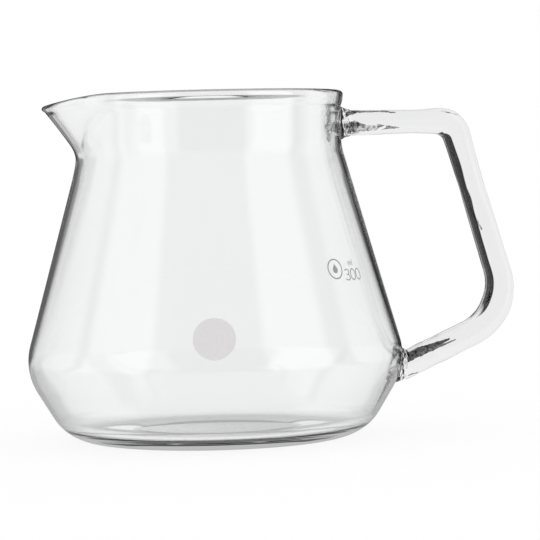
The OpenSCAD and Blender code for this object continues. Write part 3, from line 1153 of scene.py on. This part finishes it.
def clear_bar(scene):
    """Clear solid glass, drawn by hand, with dark streaks painted into its colour as shade, standing in for
    the dark studio seen bent through it.
    """
    look = scene.server_glass
    material, tree, out = new_material("clear_bar")
    place = add_node(tree, "ShaderNodeTexCoord").outputs["Object"]
    waves = clouds(tree, place, BAR_WAVES, 1.0)[0]
    ragged = clouds(tree, place, RAGGED_SCALE, 2.0)["Color"]
    push = calculate_vector(tree, "SUBTRACT", ragged, (0.5, 0.5, 0.5))
    moved = calculate_vector(tree, "MULTIPLY_ADD", push, (RAGGED, RAGGED, RAGGED), place)
    facing = split(tree, add_node(tree, "ShaderNodeNewGeometry").outputs["Normal"])["Y"]
    front = soft_step(tree, facing, FRONT_START, FRONT_FULL)
    uneven = clouds(tree, place, TONE_SCALE, 2.0)[0]
    shade = rescale(tree, uneven, UNEVEN, UNEVEN_TONE)
    painted_clearness = 1.0
    # Each painted streak darkens the bar's colour: painted shade where the dark studio would show bent
    # through the glass.
    for painted_streak in PAINTED_DARK_STREAKS:
        mask = calculate(tree, "MULTIPLY", painted_streak_mask(tree, moved, painted_streak), front)
        light = painted_streak[4]
        tone = calculate(tree, "MULTIPLY", shade, light) if light < 1 else 1.0
        painted_clearness = blend(tree, mask, painted_clearness, tone)
    glaze(tree, out, look.bar_colour, painted_clearness, look.bend_of_light, waves, 2 * look.draw_lines)
    return material


def fused_glass():
    """A face inside the fused glass, which light crosses without bending."""
    material, tree, out = new_material("fused_face")
    glass = add_node(tree, "ShaderNodeBsdfPrincipled", {
        "Base Color": (1, 1, 1, 1), "Roughness": 0.0, "IOR": 1.0, "Transmission Weight": 1.0})
    tree.links.new(glass.outputs[0], out.inputs["Surface"])
    return material


# Scale and tone of the ink's speckle
SPECKLE_SCALE = 2500.0
SPECKLE_TONE = (0.94, 1.06)


def fired_ink(name, colour):
    """Matt ink, fired on, a little uneven."""
    material, tree, out = new_material(name)
    place = add_node(tree, "ShaderNodeTexCoord").outputs["Object"]
    speckle = clouds(tree, place, SPECKLE_SCALE, 2.0)[0]
    tone = rescale(tree, speckle, (0.0, 1.0), SPECKLE_TONE)
    shade = calculate_vector(tree, "MULTIPLY", tuple(colour), tone)
    ink = add_node(tree, "ShaderNodeBsdfPrincipled", {
        "Base Color": shade, "Roughness": 0.7, "Specular IOR Level": 0.2})
    tree.links.new(ink.outputs[0], out.inputs["Surface"])
    return material


# Studio

# What the glass mirrors, in degrees round from the camera's side and above the level:
# setting with its brightness, blur, and left, right, low and high edge
STUDIO = [
    ("soft_box", 4, (-87, -40, -15, 50)),
    ("soft_box", 4, (33, 77, -15, 50)),
    ("side_card", 4, (-148, -95, -60, 60)),
    ("side_card", 4, (95, 149, -60, 60)),
    ("rear_strip", 1.5, (169, 175, -30, 30)),
    ("left_fill", 1.5, (-178, -150, -60, 60)),
    ("backdrop", 1.5, (174, 190, 1, 14)),
    ("backdrop", 1.5, (-190, -174, 1, 14)),
]
# The table that the foot stands on, where the glass mirrors it, ends here
TABLE_EDGE = 250 * MM
TABLE_BLUR = 120 * MM
# The dark gap that the bar bends into view, in degrees: start, full, full, end
GAP = (95, 132, 161, 164)
# Rays that have crossed the bar have gone into glass and out of it
BAR_CROSSINGS = 2.0
# On the floor the gap is seen from the elbow, and begins and is full this far from it
ELBOW_X = 81 * MM
GAP_START = 50 * MM
GAP_FULL = 110 * MM


def box_mask(tree, azimuth, height, blur, sides):
    """1 in the directions that a soft box or a card fills, fading over its blur."""
    left, right, low, high = sides
    return product(tree, [soft_step(tree, azimuth, radians(left - blur), radians(left + blur)),
                          soft_step(tree, azimuth, radians(right + blur), radians(right - blur)),
                          soft_step(tree, height, radians(low - blur), radians(low + blur)),
                          soft_step(tree, height, radians(high + blur), radians(high - blur))])


def bearings(tree, direction, look):
    """A direction's angle round from the camera's side, and its height above the level."""
    parts = split(tree, calculate_vector(tree, "NORMALIZE", direction))
    ahead = calculate(tree, "MULTIPLY", parts["Y"], -1.0)
    turned = calculate(tree, "SUBTRACT", calculate(tree, "ARCTAN2", parts["X"], ahead), look.swing)
    return calculate(tree, "WRAP", turned, -pi, pi), calculate(tree, "ARCSINE", parts["Z"])


def studio_tone(tree, direction, look):
    """Brightness of the studio in a direction: a dim room with soft boxes, cards and a backdrop."""
    azimuth, height = bearings(tree, direction, look)
    tone = look.room
    for setting, blur, sides in STUDIO:
        mask = box_mask(tree, azimuth, height, blur, sides)
        tone = calculate(tree, "ADD", tone, calculate(tree, "MULTIPLY", mask, getattr(look, setting)))
    return tone


def bent_gap(tree, direction, look):
    """1 in the dark gap on the right, for rays that have gone through one lump of glass, as the bar."""
    azimuth, _ = bearings(tree, direction, look)
    start, full, still_full, end = [radians(angle) for angle in GAP]
    depth = add_node(tree, "ShaderNodeLightPath").outputs["Transmission Depth"]
    return product(tree, [soft_step(tree, azimuth, start, full), soft_step(tree, azimuth, end, still_full),
                          calculate(tree, "COMPARE", depth, BAR_CROSSINGS, 0.5)])


def mirrored_only(tree):
    """1 for a ray that the glass has mirrored, and 0 for one seen direct or through glass."""
    depth = add_node(tree, "ShaderNodeLightPath").outputs["Glossy Depth"]
    return calculate(tree, "GREATER_THAN", depth, 0.5)


def plain_floor(look):
    """Matt floor that shows as the white background but for the object's shadow."""
    material, tree, out = new_material("plain_floor")
    matt = add_node(tree, "ShaderNodeBsdfDiffuse", {"Color": (*look.floor_colour, 1)})
    lift = add_node(tree, "ShaderNodeEmission", {"Strength": 1 - look.floor_colour[0]})
    plain = add_node(tree, "ShaderNodeAddShader", {0: matt.outputs[0], 1: lift.outputs[0]})
    place = add_node(tree, "ShaderNodeTexCoord").outputs["Object"]
    from_elbow = calculate_vector(tree, "SUBTRACT", place, (ELBOW_X, 0, 0))
    past = soft_step(tree, calculate_vector(tree, "LENGTH", from_elbow), GAP_START, GAP_FULL)
    hidden = calculate(tree, "MULTIPLY", bent_gap(tree, from_elbow, look), past)
    gap = add_node(tree, "ShaderNodeEmission", {"Strength": look.gap_tone})
    seen = add_node(tree, "ShaderNodeMixShader", {0: hidden, 1: plain.outputs[0], 2: gap.outputs[0]})
    away = calculate_vector(tree, "LENGTH", place)
    far = soft_step(tree, away, TABLE_EDGE - TABLE_BLUR, TABLE_EDGE + TABLE_BLUR)
    tone = blend(tree, far, look.table_top, studio_tone(tree, place, look))
    mirrored = add_node(tree, "ShaderNodeEmission", {"Strength": tone})
    both = add_node(tree, "ShaderNodeMixShader", {
        0: mirrored_only(tree), 1: seen.outputs[0], 2: mirrored.outputs[0]})
    tree.links.new(both.outputs[0], out.inputs["Surface"])
    return material


def studio_world(look):
    """White all round, with the studio in what the glass mirrors."""
    world = bpy.data.worlds.new("studio")
    world.use_nodes = True
    tree = world.node_tree
    tree.nodes.clear()
    out = tree.nodes.new("ShaderNodeOutputWorld")
    direction = add_node(tree, "ShaderNodeTexCoord").outputs["Generated"]
    seen = blend(tree, bent_gap(tree, direction, look), 1.0, look.gap_tone)
    strength = blend(tree, mirrored_only(tree), seen, studio_tone(tree, direction, look))
    light = add_node(tree, "ShaderNodeBackground", {"Color": (1, 1, 1, 1), "Strength": strength})
    tree.links.new(light.outputs[0], out.inputs["Surface"])
    return world


# Operators

def material_named(name, maker, *settings):
    """The material of that name, made the first time that it is asked for."""
    return bpy.data.materials.get(name) or maker(*settings)


def fused_pair(name, maker, scene):
    """A glass, and the glass of the faces where it is fused to another piece."""
    return [material_named(name, maker, scene), material_named("fused_face", fused_glass)]


class SERVER_OT_blow_vessel(Operator):
    """Blow the vessel: foot, belly, taper, neck, collar, rim and pulled spout in one piece of glass"""
    bl_idname = "server.blow_vessel"
    bl_label = "Blow vessel"

    def execute(self, context):
        scene = context.scene
        shape = WallShape(scene)
        points, faces = vessel_mesh(shape, scene.server_vessel.turns)
        glass = fused_pair("clear_wall", clear_wall, scene)
        piece = make_piece("vessel_glass", points, faces, glass, "vessel")
        mark_fused(piece.data, scene)
        return {"FINISHED"}


class SERVER_OT_draw_handle(Operator):
    """Draw the handle: one solid bar, bent twice into an open loop"""
    bl_idname = "server.draw_handle"
    bl_label = "Draw handle"

    def execute(self, context):
        scene = context.scene
        points, faces = bar_mesh(scene)
        glass = fused_pair("clear_bar", clear_bar, scene)
        piece = make_piece("handle_glass", points, faces, glass, "handle")
        mark_seam_faces(piece.data, (scene.server_joint.upper_x, scene.server_joint.lower_x))
        return {"FINISHED"}


class SERVER_OT_seat_joints(Operator):
    """Seat the two gathers of glass that fuse the handle's arms to the wall"""
    bl_idname = "server.seat_joints"
    bl_label = "Seat joints"

    def execute(self, context):
        scene = context.scene
        shape = WallShape(scene)
        glass = fused_pair("clear_bar", clear_bar, scene)
        names = (("upper_gather", "upper_joint"), ("lower_gather", "lower_joint"))
        for (name, node), (seam, thickness) in zip(names, seams(scene)):
            points, faces = gather_mesh(shape, seam, thickness, scene.server_handle, scene.server_joint)
            piece = make_piece(name, points, faces, glass, node)
            mark_seam_faces(piece.data, (seam[0],))
            mark_seat_faces(piece.data, shape)
        return {"FINISHED"}


class SERVER_OT_print_level_mark(Operator):
    """Print the level mark: a ring with a drop, the digits and their small unit"""
    bl_idname = "server.print_level_mark"
    bl_label = "Print level mark"

    def execute(self, context):
        scene = context.scene
        shape = WallShape(scene)
        marks = scene.server_print
        ink = material_named("mark_ink", fired_ink, "mark_ink", marks.ink)
        radius = (marks.ring_diameter - RING_STROKE) / 2
        ring = ribbon(oval((0, 0), radius, radius, range(0, 360, 6)), RING_STROKE, closed=True)
        drop = drop_figure(DROP_HALF_WIDTH, DROP_HEIGHT)
        size = marks.digit_height
        step = DIGIT_STEP * size
        digits = [ribbon(scaled(digit_three(), size, (-step, 0)), DIGIT_STROKE),
                  ribbon(scaled(digit_nought(), size), DIGIT_STROKE, closed=True),
                  ribbon(scaled(digit_nought(), size, (step, 0)), DIGIT_STROKE, closed=True)]
        foot = (0, UNIT_RISE * size)
        unit = [ribbon(scaled(path, marks.unit_height, foot), UNIT_STROKE) for path in unit_strokes()]
        print_mark("level_ring", shape, marks.ring_turn, marks.ring_z, *ring, ink)
        print_mark("level_drop", shape, marks.ring_turn, marks.ring_z, *drop, ink)
        print_mark("level_digits", shape, marks.digits_turn, marks.digits_z, *joined(digits), ink)
        print_mark("level_unit", shape, marks.digits_turn, marks.digits_z, *joined(unit), ink)
        return {"FINISHED"}


class SERVER_OT_print_disc(Operator):
    """Print the plain pale disc on the front of the belly"""
    bl_idname = "server.print_disc"
    bl_label = "Print disc"

    def execute(self, context):
        scene = context.scene
        marks = scene.server_print
        ink = material_named("disc_ink", fired_ink, "disc_ink", marks.disc_ink)
        disc = disc_figure(marks.disc_diameter)
        print_mark("printed_disc", WallShape(scene), marks.disc_turn, marks.disc_z, *disc, ink)
        return {"FINISHED"}


class SERVER_OT_set_stage(Operator):
    """Lay the floor, light the studio and place the camera"""
    bl_idname = "server.set_stage"
    bl_label = "Set stage"

    def execute(self, context):
        scene = context.scene
        look = scene.server_stage
        scene.world = studio_world(look)
        mesh = bpy.data.meshes.new("floor")
        half = look.floor_size / 2
        corners = [(-half, -half, 0), (half, -half, 0), (half, half, 0), (-half, half, 0)]
        mesh.from_pydata(corners, [], [(0, 1, 2, 3)])
        mesh.materials.append(plain_floor(look))
        floor = bpy.data.objects.new("floor", mesh)
        scene.collection.objects.link(floor)
        lens = bpy.data.cameras.new("camera")
        lens.lens = look.lens
        lens.clip_start = 10 * MM
        camera = bpy.data.objects.new("camera", lens)
        scene.collection.objects.link(camera)
        camera.matrix_world = (
            Matrix.Rotation(look.swing, 4, "Z")
            @ Matrix.Translation((look.camera_x, -look.distance, look.camera_z))
            @ Matrix.Rotation(pi / 2 - look.pitch, 4, "X") @ Matrix.Rotation(-look.roll, 4, "Z"))
        scene.camera = camera
        scene.view_settings.view_transform = "Standard"
        return {"FINISHED"}


STEPS = (SERVER_OT_blow_vessel, SERVER_OT_draw_handle, SERVER_OT_seat_joints, SERVER_OT_print_level_mark,
         SERVER_OT_print_disc, SERVER_OT_set_stage)
SETTINGS = {"server_vessel": VesselSettings, "server_spout": SpoutSettings, "server_handle": HandleSettings,
            "server_joint": JointSettings, "server_glass": GlassSettings, "server_print": PrintSettings,
            "server_stage": StageSettings}


class SERVER_PT_panel(Panel):
    """Lists the steps that make the server, and their settings"""
    bl_label = "Server"
    bl_idname = "SERVER_PT_panel"
    bl_space_type = "VIEW_3D"
    bl_region_type = "UI"
    bl_category = "Server"

    def draw(self, context):
        for step in STEPS:
            self.layout.operator(step.bl_idname)
        for name, group in SETTINGS.items():
            box = self.layout.box()
            box.label(text=group.__doc__)
            for key in group.__annotations__:
                box.prop(getattr(context.scene, name), key)


def register():
    """Register the settings, the steps and the panel."""
    for name, group in SETTINGS.items():
        bpy.utils.register_class(group)
        setattr(bpy.types.Scene, name, PointerProperty(type=group))
    for cls in (*STEPS, SERVER_PT_panel):
        bpy.utils.register_class(cls)


def unregister():
    """Take out the panel, the steps and the settings."""
    for cls in (SERVER_PT_panel, *reversed(STEPS)):
        bpy.utils.unregister_class(cls)
    for name, group in SETTINGS.items():
        delattr(bpy.types.Scene, name)
        bpy.utils.unregister_class(group)


def main():
    """Make the whole server."""
    register()
    bpy.ops.server.blow_vessel()
    bpy.ops.server.draw_handle()
    bpy.ops.server.seat_joints()
    bpy.ops.server.print_level_mark()
    bpy.ops.server.print_disc()
    bpy.ops.server.set_stage()
    bpy.context.view_layer.update()


if __name__ == "__main__":
    main()
